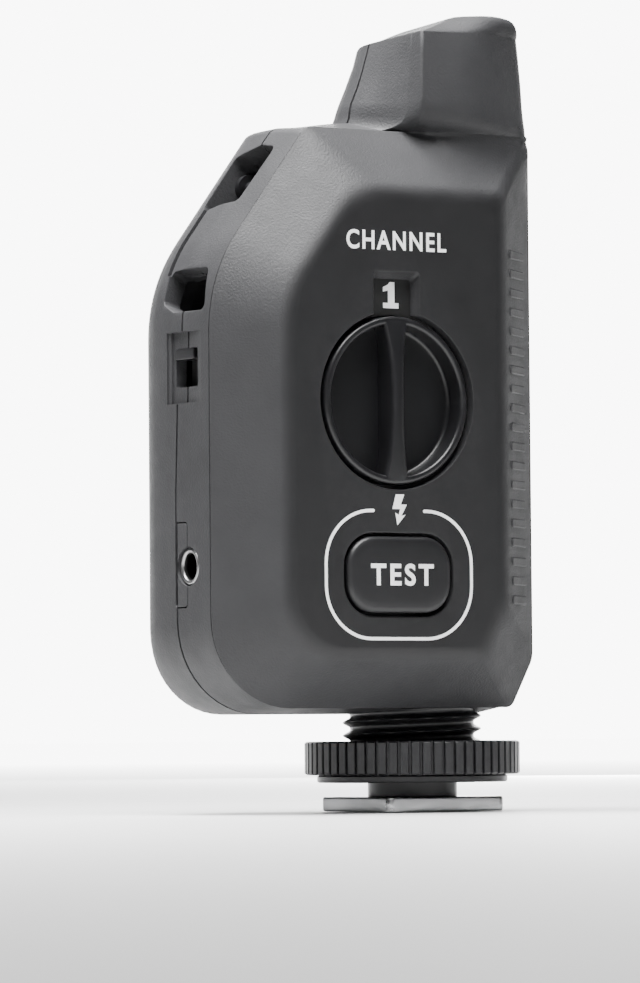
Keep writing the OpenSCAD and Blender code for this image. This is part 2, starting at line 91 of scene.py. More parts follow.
BUTTON_Z = 17.65
BUTTON = (16.1, 10.2)
BUTTON_R = 4.0
BUTTON_GAP = 0.4
DIAL_BORE_R = 11.9
DISC_R = 16.9
CHANNELS = 10
NUMBER_R = 14.15  # from the dial's axis to the middle of a number
INK = 0.03
OUTLINE = (22.7, 17.0)  # printed outline round the button
OUTLINE_R = 7.0
OUTLINE_GAP = 4.0  # half of the gap for the sign

JACK = (18.9, 12.8)  # height and depth
JACK_R = 1.8
RIM_R = 2.45
JACK_END = 13.9
JACK_GAP = 0.13
USB = (9.75, 30.0)  # depth and height
USB_SIZE = (3.6, 3.9)
DOOR_D = 31.35
DOOR_TOP = 61.0
DOOR_MID = 0.5
DOOR_HALF = 16.0
DOOR_GROOVES = 5
SCREWS = ((-19.5, 10), (20.5, 10), (-10.5, 70.5), (21.5, 66))
RIBS = 19
RIB = (6.2, 1.2)
RIB_STEP = 2.6

BORE_R = 1.9  # contact pin's way through the post
PITCH = 1.75
THREAD_R = 8.45
THREAD_RISE = 1.0
THREAD_Z = (4.0, 13.95)
FLANGE_Z = (16.65, 17.85)
RING_R = 14.7
RING_Z = (5.0, 9.57)
RING_BORE_R = 9.6
RIDGES = 60
FOOT_SIZE = (18.6, 18.0)
FOOT_SCREW_R = 4.3  # from the axis to a foot screw


# ---------------------------------------- plane geometry

def corner_arc(a, b, c, radius, steps):
    """Points of an arc that rounds corner b between a and c."""
    a, b, c = Vector(a), Vector(b), Vector(c)
    u = (a - b).normalized()
    v = (c - b).normalized()
    half = math.acos(max(-1, min(1, u.dot(v)))) / 2
    if half > math.radians(89):
        return [(b + u * 0.2).lerp(b + v * 0.2, i / steps) for i in range(steps + 1)]
    centre = b + (u + v).normalized() * radius / math.sin(half)
    start = b + u * radius / math.tan(half) - centre
    finish = b + v * radius / math.tan(half) - centre
    a0 = math.atan2(start.y, start.x)
    sweep = (math.atan2(finish.y, finish.x) - a0 + 3 * math.pi) % (2 * math.pi) - math.pi
    return [centre + radius * polar(1, a0 + sweep * i / steps) for i in range(steps + 1)]


def rounded(points, radii, steps=8, fill=0):
    """Polygon with rounded corners; fill adds points along each straight."""
    count = len(points)
    out = []
    for i in range(count):
        arc = corner_arc(points[i - 1], points[i], points[(i + 1) % count], radii[i], steps)
        if out and fill:
            last = out[-1]
            out += [last.lerp(arc[0], (k + 1) / (fill + 1)) for k in range(fill)]
        out += arc
    if fill:
        last = out[-1]
        out += [last.lerp(out[0], (k + 1) / (fill + 1)) for k in range(fill)]
    return out


def rounded_rect(width, height, radius, steps=8, grow=0.0):
    w = width / 2 + grow
    h = height / 2 + grow
    r = max(radius + grow, 0.05)
    return rounded([(-w, -h), (w, -h), (w, h), (-w, h)], [r] * 4, steps)


def polar(radius, angle):
    return Vector((radius * math.cos(angle), radius * math.sin(angle)))


def circle(radius, steps=96):
    return [polar(radius, 2 * math.pi * i / steps) for i in range(steps)]


def clamp(value):
    return max(0.0, min(1.0, value))


def smooth(value):
    value = clamp(value)
    return value * value * (3 - 2 * value)


def outline(side, top, bottom, shoulder_r, steps, fill):
    """Outline of the body, seen from the front, drawn in from the crease."""
    left = side - LEFT_W
    right = RIGHT_W - side * RIGHT_SHARE
    high = TOP_Z - top
    px = SHOULDER[0] + side * math.sin(SLOPE)
    pz = SHOULDER[1] - side * math.cos(SLOPE)
    elbow = (left, pz + (left - px) * math.tan(SLOPE))
    shoulder = (px + (high - pz) / math.tan(SLOPE), high)
    points = [(left, bottom), (right - 3.5, bottom), (right, bottom + 6.7), (right, high), shoulder, elbow]
    foot_r = max(12 - side * 0.5, 4)
    elbow_r = max(23 - side, 6)
    radii = [foot_r, 1.5, 4, 1.6, shoulder_r, elbow_r]
    return rounded(points, radii, steps, fill)


# ---------------------------------------- meshes

def linked(name, data):
    """New object in the scene."""
    obj = bpy.data.objects.new(name, data)
    bpy.context.scene.collection.objects.link(obj)
    return obj


def make_object(name, bm):
    """Object of a bmesh, with its normals outwards."""
    bmesh.ops.recalc_face_normals(bm, faces=bm.faces[:])
    if bm.calc_volume(signed=True) < 0:
        bmesh.ops.reverse_faces(bm, faces=bm.faces[:])
    mesh = bpy.data.meshes.new(name)
    bm.to_mesh(mesh)
    bm.free()
    return linked(name, mesh)


def loft(name, rings, loop=False):
    """Closed solid through rings of equal length; loop joins the last ring to the first."""
    bm = bmesh.new()
    rows = [[bm.verts.new(p) for p in ring] for ring in rings]
    count = len(rows[0])
    pairs = list(zip(rows, rows[1:]))
    if loop:
        pairs.append((rows[-1], rows[0]))
    for a, b in pairs:
        for i in range(count):
            j = (i + 1) % count
            bm.faces.new((a[i], a[j], b[j], b[i]))
    if not loop:
        bm.faces.new(rows[0])
        bm.faces.new(rows[-1])
    return make_object(name, bm)


def at_depth(points, depth, x=0.0, z=0.0):
    """Plane points seen from the front, as a ring at a depth."""
    return [(p[0] + x, depth, p[1] + z) for p in points]


def at_height(points, height, x=0.0, y=0.0):
    return [(p[0] + x, p[1] + y, height) for p in points]


def box(name, low, high):
    corners = [(low[0], low[1]), (high[0], low[1]), (high[0], high[1]), (low[0], high[1])]
    return loft(name, [at_height(corners, low[2]), at_height(corners, high[2])])


def bake(obj):
    """Applies an object's modifiers."""
    graph = bpy.context.evaluated_depsgraph_get()
    mesh = bpy.data.meshes.new_from_object(obj.evaluated_get(graph))
    old = obj.data
    obj.modifiers.clear()
    obj.data = mesh
    bpy.data.meshes.remove(old)


def combine(obj, other, operation="DIFFERENCE"):
    """Boolean of obj with other, which is used up."""
    mod = obj.modifiers.new("boolean", "BOOLEAN")
    mod.operation = operation
    mod.solver = "MANIFOLD"
    mod.object = other
    bake(obj)
    bpy.data.objects.remove(other)
    return obj


def join(name, objs):
    """One mesh out of several."""
    bm = bmesh.new()
    for obj in objs:
        bm.from_mesh(obj.data)
        bpy.data.objects.remove(obj)
    mesh = bpy.data.meshes.new(name)
    bm.to_mesh(mesh)
    bm.free()
    return linked(name, mesh)


# ---------------------------------------- cutters

def edge_rings(edge, depth):
    """(depth, growth) pairs of a cutter that leaves a rounded rim: it flares towards the surface."""
    return [(-1.0, edge + 2.45), (0.29 * edge, 0.29 * edge), (edge, 0.0), (depth, 0.0)]


def panel_cutter(shape, depth, edge, z):
    """Cutter through the panel; shape(growth) gives the opening's points."""
    return loft("cutter", [at_depth(shape(grow), d, 0, z) for d, grow in edge_rings(edge, depth)])


def side_line():
    """The left side's outline from the bottom up, with its slope carried on past the top."""
    whole = outline(0, 0, 0, 2, 24, 0)
    line = sorted((p for p in whole if p.x < SHOULDER[0] - 3 and p.y < 73), key=lambda p: p.y)
    return line + [Vector(SHOULDER) + run * polar(1, SLOPE) for run in (-4, 6)]


SIDE_LINE = side_line()


def side_base(height):
    """Point of the left side's outline at a height, and its outward normal."""
    for a, b in zip(SIDE_LINE, SIDE_LINE[1:]):
        if a.y <= height <= b.y and b.y - a.y > 1e-6:
            spot = a.lerp(b, (height - a.y) / (b.y - a.y))
            along = (b - a).normalized()
            return spot, Vector((-along.y, along.x))
    raise ValueError(f"no side at height {height}")


def side_offset(depth):
    """How far the side's surface lies inside the crease's outline at a depth."""
    if depth < PART_D:
        return 0.2 - (0.2 + DRAFT) * (depth - CREASE_D) / (PART_D - CREASE_D)
    return rear_in(depth, REAR_R) - DRAFT


def side_point(height, depth, inward):
    """Point at a distance inside the left side's surface."""
    spot, normal = side_base(height)
    spot = spot - normal * (inward + side_offset(depth))
    return (spot.x, depth, spot.y)


def grown(points, amount):
    """Closed loop of plane points moved outwards."""
    area = sum(a.x * b.y - b.x * a.y for a, b in zip(points, points[1:] + points[:1]))
    sign = 1 if area > 0 else -1
    out = []
    for i, p in enumerate(points):
        along = points[(i + 1) % len(points)] - points[i - 1]
        normal = Vector((along.y, -along.x)).normalized() * sign
        out.append(p + normal * amount)
    return out


def side_loop(corners, radius):
    """Rounded loop on the left side; corners are (height, depth) pairs."""
    return rounded(corners, [radius] * len(corners), 5, 3)


def side_rings(loop, levels):
    """The loop at each level; levels are pairs of distance inside the surface and growth."""
    return [[side_point(p.x, p.y, inward) for p in grown(loop, grow)] for inward, grow in levels]


def side_cutter(loop, depth, edge):
    """Cutter into the left side."""
    return loft("cutter", side_rings(loop, edge_rings(edge, depth)))


# ---------------------------------------- forms of the body

def rear_in(depth, radius):
    """How far an edge rounded by the radius has turned in at a depth near the back."""
    past = max(depth - (BODY_D - radius), 0)
    return radius - math.sqrt(max(radius * radius - past * past, 0))


def top_rise(depth):
    """The top rises from the crease back to the shells' joint."""
    return TOP_RISE * clamp((depth - CREASE_D) / (PART_D - CREASE_D))


def lift(x, depth):
    """Rise of the top, which fades out towards the left shoulder."""
    return top_rise(depth) * smooth((x - SHOULDER[0]) / 12.6)


def stub_front(x, z):
    """Depth of the stub's front surface at a point of the body's front."""
    low, high = next(pair for pair in zip(STUB, STUB[1:]) if pair[1][0] >= z)
    t = (z - low[0]) / (high[0] - low[0])
    ring = stub_ring(*[p + (q - p) * t for p, q in zip(low, high)])
    depths = []
    for p, q in zip(ring, ring[1:] + ring[:1]):
        if min(p[0], q[0]) <= x <= max(p[0], q[0]) and p[0] != q[0]:
            depths.append(p[1] + (q[1] - p[1]) * (x - p[0]) / (q[0] - p[0]))
    return min(depths) if depths else BODY_D


def soft_min(a, b, reach):
    """Smaller of two depths, with a fillet where they meet."""
    h = clamp(0.5 + 0.5 * (b - a) / reach)
    return b + (a - b) * h - reach * h * (1 - h)


def body_ring(depth, side, top, bottom, shoulder_r, flow=False):
    """Section of the body; with flow, its front rises smoothly into the stub."""
    ring = []
    for p in outline(side, top, bottom, shoulder_r, 12, 14):
        rise = lift(p.x, depth) * clamp((p.y - 70) / 7)
        near = depth
        if flow and p.y > 69.0:
            reach = 0.02 + 3.4 * smooth((p.y - 69) / 3) * (1 - smooth((p.y - 75) / 2.6))
            near = soft_min(depth, stub_front(p.x, min(p.y, TOP_Z)), reach)
            near = max(near, min(depth, 0.0))
        ring.append((p.x, near, p.y + rise))
    return ring


def facet_ring(u, depth):
    """Ring of the facets; u runs from 0 at the panel's edge to 1 at the crease."""
    insets = [size * (1 - u) for size in (PANEL_IN, PANEL_TOP, PANEL_BOTTOM)]
    return body_ring(depth, *insets, 9 - 7 * u, True)


def rear_ring(depth, insets):
    """Ring of the rounded back, moved in at the sides, top and bottom."""
    radii = (REAR_R, REAR_TOP_R, REAR_BOTTOM_R)
    return body_ring(depth, *[rear_in(depth, r) + inset for r, inset in zip(radii, insets)], 2)


def rear_depths(steps):
    """Depths of the rings round the back, ten to the quarter turn."""
    return [BODY_D - REAR_R * (1 - math.sin(math.radians(9 * k))) for k in steps]


def body_rings():
    """The body from the panel's face to its back."""
    rings = []
    blend = 0.17  # half of the share of a facet that rounds the panel's edge
    for k in range(7):
        t = k / 6
        u = -blend * (1 - t) ** 2 + blend * t ** 2
        rings.append(facet_ring(u, CREASE_D * blend * t ** 2))
    for u in (0.3, 0.45, 0.6, 0.75, 0.88, 0.97):
        rings.append(facet_ring(u, CREASE_D * u))
    groove = ((7.06, 0.02), (7.16, 0.05), (7.18, 0.6), (7.62, 0.6), (7.66, 0.2), (7.72, 0.18))
    for depth, inset in groove:
        rings.append(body_ring(depth, inset, inset, inset, 2, True))
    inset = groove[-1][1]
    drafts = (DRAFT, DRAFT_TOP, DRAFT_BOTTOM)
    for k in range(1, 6):
        t = k / 5
        depth = 7.6 + (PART_D - 7.6) * t
        rings.append(body_ring(depth, *[inset - (inset + draft) * t for draft in drafts], 2))
    swell = [-draft for draft in drafts]
    rings.append(body_ring(17.5, *swell, 2))
    return rings + [rear_ring(depth, swell) for depth in rear_depths(range(11))]


def room_rings():
    """Room inside the body."""
    rings = []
    for u, depth in ((0, 2.5), (0.5, 5.0), (1, 7.8)):
        side = PANEL_IN * (1 - u) + WALL * (0.6 + 0.4 * u)
        top = PANEL_TOP * (1 - u) + WALL
        bottom = PANEL_BOTTOM * (1 - u) + WALL
        rings.append(body_ring(depth, side, top, bottom, 6 - 4 * u))
    for depth in (11.5, PART_D, 19.5):
        rings.append(body_ring(depth, WALL - DRAFT * 0.5, WALL, WALL, 2))
    for depth in rear_depths(range(1, 10)):
        if depth < BODY_D - WALL:
            rings.append(rear_ring(depth, (WALL, WALL, WALL * 0.8)))
    return rings


# height; front left corner (x, depth); rear left x; flare of the foot; right x; front; back.
# The rows below the shoulder only shape how the front facets rise into the stub.
STUB = (
    (68.0, 6.2, 7.6, -0.4, 2.6, 25.9, 0.15, 27.0),
    (73.0, 6.35, 7.55, 0.0, 2.6, 25.7, 0.45, 27.0),
    (76.8, 6.5, 7.5, 0.4, 2.6, 25.75, 0.8, 27.0),
    (77.7, 6.55, 7.2, -0.9, 2.4, 25.75, 0.88, 26.8),
    (78.0, 6.5, 6.3, -1.1, 1.7, 25.7, 0.9, 26.7),
    (78.4, 6.45, 5.4, -1.3, 1.1, 25.65, 0.94, 26.6),
    (79.0, 6.4, 4.5, -1.6, 0.5, 25.6, 1.0, 26.5),
    (79.8, 6.35, 3.9, -1.8, 0.15, 25.5, 1.1, 26.3),
    (80.8, 6.3, 3.6, -1.7, 0.0, 25.4, 1.2, 26.1),
    (82.0, 6.35, 3.5, -1.2, 0.0, 25.25, 1.3, 26.0),
    (85.0, 6.45, 3.6, 1.0, 0.0, 24.9, 1.6, 25.7),
    (88.5, 6.55, 3.7, 3.0, 0.0, 24.45, 1.95, 25.3),
    (91.1, 6.65, 3.8, 4.4, 0.0, 24.1, 2.25, 25.0),
    (91.35, 6.8, 3.86, 4.55, 0.0, 24.05, 2.28, 24.9),
    (91.6, 7.6, 4.0, 5.8, 0.0, 24.0, 2.35, 24.6),
    (91.95, 8.6, 4.2, 7.0, 0.0, 23.9, 2.45, 24.2),
    (92.45, 9.8, 4.5, 8.5, 0.0, 23.75, 2.7, 23.6),
    (93.0, 10.9, 4.8, 10.0, 0.0, 23.5, 3.0, 22.9),
    (93.5, 12.0, 5.2, 11.4, 0.0, 23.1, 3.4, 22.0),
    (93.85, 13.2, 5.7, 12.9, 0.0, 22.5, 3.9, 21.0),
    (STUB_Z, 15.0, 6.4, 14.8, 0.0, 21.4, 4.7, 19.6),
)


def stub_ring(height, x0, d0, xr, flare, x1, front, back):
    """Section of the antenna stub, from a row of STUB."""
    scale = (x1 - min(x0, xr)) / 20
    foot_x = x0 + (xr - x0) * 2.2 / (back - d0) - flare
    right_d = front + 3.6 * scale + 3.6 * (1 - smooth((height - 70) / 10))
    middle = ((x0 + x1) / 2, front)
    corners = [(x0, d0), (foot_x, d0 + 2.2), (xr - flare, back), (x1, back), (x1, right_d), middle]
    rear_r = (9 - 2 * (1 - smooth((height - 80) / 11))) * scale
    radii = [0.5, 1.2, rear_r, 7 * scale, 4 * scale, 12 * scale]
    fade = 1 - smooth((height - 79) / 5)
    tilt = 0.05 * smooth((height - 85) / 6)
    ring = []
    for p in rounded(corners, radii, 8, 3):
        rise = top_rise(p.y) * fade if height > 70 else 0.0
        ring.append((p.x, p.y, height + rise - tilt * max(p.y - 3.8, 0)))
    return ring


def stub_solid():
    """The stub, with a narrower foot that ends inside the body."""
    inside = (75.6, 8.0, 9.5, 4.0, 0.0, 24.0, 3.2, 24.0)
    rows = [inside] + [row for row in STUB if row[0] > 77.5]
    return loft("stub", [stub_ring(*row) for row in rows])


def outer_solid():
    """The body with its antenna stub, as one solid."""
    return combine(loft("outer", body_rings()), stub_solid(), "UNION")


# ---------------------------------------- shells

# (height, depth) of the joint between the shells on the left side: it steps round the strap bar
# and the power switch
LEFT_JOINT = (
    (-20, 15.6), (9, 15.4), (28, 15.7), (40.6, 15.1), (40.7, 13.4), (50.15, 13.0), (50.25, 13.9),
    (58.2, 14.0), (58.3, 20.2), (68.0, 20.2), (68.1, 15.8), (76, 15.7), (78.1, PART_D), (110, PART_D),
)
SPLIT_X = -8.0  # right of this, the joint is plain
# (height, depth) corners of the openings in the left side
UPPER_MOUTH = ((75.4, 12.0), (67.9, 12.5), (67.2, 21.1), (74.5, 21.3), (75.8, 15.8))
LOWER_MOUTH = ((58.6, 10.2), (52.9, 8.9), (52.9, 16.4), (54.2, 19.5), (58.7, 19.7))
SLOT = ((42.8, 10.4), (42.8, 16.2), (48.0, 16.2), (48.0, 10.4))
PLATE = ((13.4, 12.9), (24.9, 12.9), (24.9, 15.9), (13.4, 15.9))
# (depth, inward) section of the recess round the power switch
SWITCH_FRAME = ((9.4, 0.02), (13.2, 0.5), (16.9, 0.5), (16.95, 0.22), (17.8, 0.2), (17.9, -1), (9.3, -1))


def joint_volume(front):
    """Everything in front of the shells' joint, or everything behind it."""
    far = -8 if front else 60
    shift = -SEAM if front else SEAM
    left = [(far, LEFT_JOINT[0][0])]
    right = list(left)
    for height, depth in LEFT_JOINT:
        left.append((depth + shift, height))
        right.append((PART_D + shift, height))
    left.append((far, LEFT_JOINT[-1][0]))
    right.append(left[-1])
    rings = []
    for x, shape in ((-60, left), (SPLIT_X, left), (SPLIT_X + 0.01, right), (60, right)):
        rings.append([(x, depth, height) for depth, height in shape])
    return loft("volume", rings)


def side_prism(low, high, profile, steps=14):
    """Solid along the left side between two heights; profile lists (depth, inward) points."""
    rings = []
    for k in range(steps + 1):
        height = low + (high - low) * k / steps
        rings.append([side_point(height, depth, inward) for depth, inward in profile])
    return loft("prism", rings)


def jack_cutter(depth, edge):
    loop = [Vector((JACK[0] + p.x, JACK[1] + p.y)) for p in circle(RIM_R + JACK_GAP, 48)]
    return side_cutter(loop, depth, edge)


def depth_rod(radius, d0, d1, x, z, steps=32):
    return loft("rod", [at_depth(circle(radius, steps), d, x, z) for d in (d0, d1)])


def upright_rod(radius, z0, z1, x, y, steps=48):
    return loft("rod", [at_height(circle(radius, steps), z, x, y) for z in (z0, z1)])


def window_cutter():
    """Number window with tapered walls."""
    rings = []
    levels = ((-1.0, 4.6, 18.2), (0.0, 3.75, 17.35), (0.15, 3.55, 17.15), (1.5, 3.0, 16.3), (4.0, 3.0, 16.3))
    low = 8.5
    for depth, half, top in levels:
        corners = [(-half, low), (half, low), (half, top), (-half, top)]
        rings.append(at_depth(rounded(corners, [0.3, 0.3, 0.5, 0.5], 4), depth, 0, DIAL_Z))
    return loft("cutter", rings)


def usb_cutter():
    rings = []
    for x, grow in ((RIGHT_W + 2, 0.5), (RIGHT_W + 0.5, 0.3), (RIGHT_W + 0.1, 0.0), (RIGHT_W - 5, 0.0)):
        loop = rounded_rect(*USB_SIZE, 0.5, 5, grow)
        rings.append([(x, p.x + USB[0], p.y + USB[1]) for p in loop])
    return loft("cutter", rings)


def door_prism(gap):
    """The battery door's space in the back, grown by a gap."""
    inner = DOOR_HALF + gap
    outer = inner - 1
    section = [(-inner, DOOR_D - gap), (inner, DOOR_D - gap), (outer, BODY_D + 2), (-outer, BODY_D + 2)]
    return loft("door", [at_height(section, z, DOOR_MID) for z in (-8.0, DOOR_TOP + gap)])


def pocket(z0, z1, d0, d1, t0, t1):
    """Block that follows the left side, between two distances inside the surface."""
    loop = rounded([(z0, d0), (z1, d0), (z1, d1), (z0, d1)], [0.6] * 4, 3, 10)
    rings = []
    for k in range(5):
        inward = t0 + (t1 - t0) * k / 4
        rings.append([side_point(p.x, p.y, inward) for p in loop])
    return loft("pocket", rings)


def dial_opening(grow):
    return circle(DIAL_BORE_R + grow)


def button_opening(grow):
    width, height = [size + 2 * BUTTON_GAP for size in BUTTON]
    return rounded_rect(width, height, BUTTON_R + BUTTON_GAP, 10, grow)


def hollow_body(outer):
    """The body before it is split: hollow, with its posts and openings."""
    body = linked("body", outer.data.copy())
    combine(body, loft("room", room_rings()))
    combine(body, box("room", (8.6, 8.8, 69.0), (20.8, 22.0, 90.6)))
    posts = [depth_rod(2.6, 6.5, 25.0, x, z) for x, z in SCREWS]
    combine(body, join("posts", posts), "UNION")
    combine(body, pocket(51.4, 77.0, 7.6, 22.6, 0.9, 10.0), "UNION")
    openings = [
        panel_cutter(dial_opening, 7, 0.3, DIAL_Z),
        panel_cutter(button_opening, 7, 0.35, BUTTON_Z),
        side_cutter(side_loop(UPPER_MOUTH, 0.9), 8.4, 0.22),
        side_cutter(side_loop(LOWER_MOUTH, 0.9), 8.4, 0.22),
        jack_cutter(7, 0.08),
        usb_cutter(),
        upright_rod(8.1, -4, 4, FOOT.x, FOOT.y),
    ]
    combine(body, join("cutters", openings))
    recesses = [
        depth_rod(17.3, 1.6, 4.4, 0, DIAL_Z, 96),
        pocket(53.2, 75.4, 10.3, 20.0, 2.4, 8.6),
        side_prism(58.0, 68.2, ((15.3, -0.03), (20.3, 0.4), (20.3, -2), (15.3, -2))),
        side_prism(40.7, 50.2, SWITCH_FRAME),
        side_cutter(side_loop(PLATE, 0.7), 2.6, 0.05),
        door_prism(0.12),
    ]
    recesses += [depth_rod(2.1, 21.5, 40.0, x, z) for x, z in SCREWS]
    combine(body, join("cutters", recesses))
    inner_openings = [
        window_cutter(),
        side_cutter(side_loop(SLOT, 0.3), 6, 0.06),
        box("cells", (DOOR_MID - 14.3, 28, 5), (DOOR_MID + 14.3, 40, DOOR_TOP - 3)),
    ]
    combine(body, join("cutters", inner_openings))
    return body


def build_shells():
    """Both shells and the battery door, cut from one solid."""
    outer = outer_solid()
    body = hollow_body(outer)
    front = combine(linked("front_shell_skin", body.data.copy()), joint_volume(True), "INTERSECT")
    rear = combine(body, joint_volume(False), "INTERSECT")
    rear.name = "rear_shell_skin"
    door = combine(outer, door_prism(0.0), "INTERSECT")
    door.name = "battery_door_skin"
    grooves = []
    for k in range(DOOR_GROOVES):
        loop = rounded_rect(15.0 - 1.6 * k, 1.1, 0.5, 5)
        z = 56.5 - 2.4 * k
        rings = [at_depth(loop, d, DOOR_MID, z) for d in (BODY_D - 0.45, BODY_D + 1)]
        grooves.append(loft("groove", rings))
    combine(door, join("grooves", grooves))
    return front, rear, door


# ---------------------------------------- dial

def build_dial():
    """Knob with two finger recesses and an hourglass bar between them."""
    profile = ((9.55, 3.35), (9.85, 3.3), (10.05, 3.1), (10.1, 2.8), (10.15, 0.7), (10.22, 0.42),
               (10.4, 0.24), (10.65, 0.2), (10.92, 0.24), (11.12, 0.38), (11.23, 0.62), (11.25, 1.0),
               (11.25, 2.65), (13.4, 2.65), (13.4, 4.8), (4.6, 4.8), (4.6, 8.0))
    knob = loft("channel_dial_knob", [at_depth(circle(r, 128), d, 0, DIAL_Z) for r, d in profile])
    rings = []
    for k in range(25):
        h = -10.7 + 21.4 * k / 24
        spread = (h / 10.4) ** 2
        half = 0.62 + 1.0 * spread * abs(h / 10.4) ** 0.5
        top = -0.46 + 0.6 * spread
        flank = [(1.15, 3.7), (max(half, 1.0), 3.2), (half + 0.32, top + 0.8), (half + 0.16, top + 0.3),
                 (half - 0.06, top + 0.07), (half * 0.45, top)]
        section = [(-x, d) for x, d in flank] + flank[::-1]
        rings.append([(x, d, DIAL_Z + h) for x, d in section])
    combine(knob, loft("bar", rings), "UNION")
    return knob


def glyph(text, height, width, bold, spacing=1.0, thickness=INK):
    """Flat lettering, centred, facing the front, in millimetres."""
    curve = bpy.data.curves.new("glyph", "FONT")
    curve.body = text
    curve.size = 1.0
    curve.offset = bold
    curve.space_character = spacing
    curve.resolution_u = 6
    obj = linked("glyph", curve)
    graph = bpy.context.evaluated_depsgraph_get()
    mesh = bpy.data.meshes.new_from_object(obj.evaluated_get(graph))
    bpy.data.objects.remove(obj)
    xs = [v.co.x for v in mesh.vertices]
    ys = [v.co.y for v in mesh.vertices]
    tall = height / (max(ys) - min(ys))
    wide = width / (max(xs) - min(xs)) if width else tall
    cx, cy = (max(xs) + min(xs)) / 2, (max(ys) + min(ys)) / 2
    bm = bmesh.new()
    bm.from_mesh(mesh)
    bpy.data.meshes.remove(mesh)
    for v in bm.verts:
        v.co = Vector(((v.co.x - cx) * wide, 0, (v.co.y - cy) * tall))
    made = bmesh.ops.extrude_face_region(bm, geom=bm.faces[:])
    for v in made["geom"]:
        if isinstance(v, bmesh.types.BMVert):
            v.co.y -= thickness
    return make_object("glyph", bm)


def moved(obj, x, depth, z, turn=0.0):
    """Turns flat work about the view's axis and moves it."""
    obj.data.transform(Matrix.Translation((x, depth, z)) @ Matrix.Rotation(turn, 4, "Y"))
    return obj


def printed(name, shape):
    """Film of ink from plane points."""
    return loft(name, [at_depth(shape, 0.0), at_depth(shape, -INK)])


def numeral_one():
    """Numeral with a flag and a foot."""
    shape = ((-1.15, -1.75), (1.25, -1.75), (1.25, -1.05), (0.62, -1.05), (0.62, 1.75), (-0.12, 1.75),
             (-0.4, 1.4), (-1.15, 1.05), (-1.15, 0.45), (-0.38, 0.62), (-0.38, -1.05), (-1.15, -1.05))
    return printed("one", shape)


def build_numbers():
    """Channel numbers round the disc; the first shows in the window at rest."""
    marks = [numeral_one()]
    for number in range(2, CHANNELS + 1):
        width = 3.4 if number == 10 else None
        marks.append(glyph(str(number), 3.5, width, 0.03))
    for k, mark in enumerate(marks):
        moved(mark, 0, 0, NUMBER_R)
        moved(mark, 0, 1.68, DIAL_Z, 2 * math.pi * k / CHANNELS)
    return join("channel_numbers", marks)


def build_disc():
    """Disc that carries the channel numbers behind the window."""
    bore, edge = 11.45, DISC_R - 0.2
    profile = ((bore, 1.7), (edge, 1.7), (DISC_R, 1.85), (DISC_R, 2.45), (edge, 2.6), (bore, 2.6))
    rings = [at_depth(circle(r, 128), d, 0, DIAL_Z) for r, d in profile]
    return loft("number_disc_plate", rings, loop=True)


# ---------------------------------------- button and print

def build_button():
    """Cap with a flange inside the shell and a crowned face."""
    profile = ((-1.6, 3.6), (-1.6, 2.62), (0.0, 2.6), (0.0, 0.35), (0.05, 0.1), (0.2, -0.16),
               (0.45, -0.33), (0.8, -0.42), (1.6, -0.46), (3.6, -0.475))
    rings = []
    for inset, depth in profile:
        loop = rounded_rect(*BUTTON, BUTTON_R, 12, -inset)
        rings.append(at_depth(loop, depth, 0, BUTTON_Z))
    cap = loft("test_button_cap", rings)
    combine(cap, depth_rod(2, 3.4, 7.0, 0, BUTTON_Z), "UNION")
    return cap


def stroke(path, width, cap_steps=5):
    """Printed line along plane points, with round ends."""
    left, right = [], []
    count = len(path)
    for i, p in enumerate(path):
        along = (path[min(i + 1, count - 1)] - path[max(i - 1, 0)]).normalized()
        normal = Vector((-along.y, along.x)) * width / 2
        left.append(p + normal)
        right.append(p - normal)
    caps = []
    for end, before in ((path[-1], path[-2]), (path[0], path[1])):
        out = end - before
        a0 = math.atan2(out.y, out.x) + math.pi / 2
        turns = [a0 - math.pi * k / cap_steps for k in range(1, cap_steps)]
        caps.append([end + width / 2 * polar(1, turn) for turn in turns])
    return printed("stroke", left + caps[0] + right[::-1] + caps[1])


def outline_path():
    """Rounded rectangle round the button, open at the top for the sign."""
    w, h = OUTLINE[0] / 2, OUTLINE[1] / 2
    corners = [(-w, h), (-w, -h), (w, -h), (w, h)]
    path = [Vector((-OUTLINE_GAP, h))]
    for i in range(4):
        path += corner_arc(corners[i - 1], corners[i], corners[(i + 1) % 4], OUTLINE_R, 14)
    path.append(Vector((OUTLINE_GAP, h)))
    return [p + Vector((0, BUTTON_Z)) for p in path]


def build_print():
    """Outline round the button, the sign in its gap, and the label above the window."""
    bolt = ((-0.55, 2.0), (0.75, 2.0), (0.2, 0.65), (1.15, 0.65), (0.28, -0.85), (0.95, -0.7),
            (-0.35, -2.1), (-0.65, -0.45), (-0.12, -0.75), (0.1, 0.05), (-1.1, 0.05))
    sign = [Vector(p) + Vector((0.1, 26.35)) for p in bolt]
    label = glyph("CHANNEL", 2.6, 15.6, 0.022, 1.2)
    parts = [stroke(outline_path(), 0.43), printed("bolt", sign), moved(label, 0, 0, 62.2)]
    return join("panel_print_ink", parts)


def build_button_label():
    return moved(glyph("TEST", 2.95, 9.8, 0.03, 1.28, 0.015), 0.2, -0.478, BUTTON_Z)


# ---------------------------------------- left side pieces

def build_jack():
    """Barrel with a rolled rim."""
    outer_r = RIM_R - 0.25
    profile = ((JACK_R, JACK_END), (JACK_R, 0.35), (JACK_R + 0.08, 0.12), (JACK_R + 0.22, 0.0),
               (RIM_R - 0.2, -0.02), (RIM_R - 0.06, 0.06), (RIM_R, 0.2), (RIM_R, 3.0), (outer_r, 3.0),
               (outer_r, JACK_END))
    x0 = -LEFT_W - 0.02
    rings = [[(x0 + inward, JACK[1] + p.y, JACK[0] + p.x) for p in circle(r, 48)] for r, inward in profile]
    return loft("jack_barrel_tube", rings, loop=True)


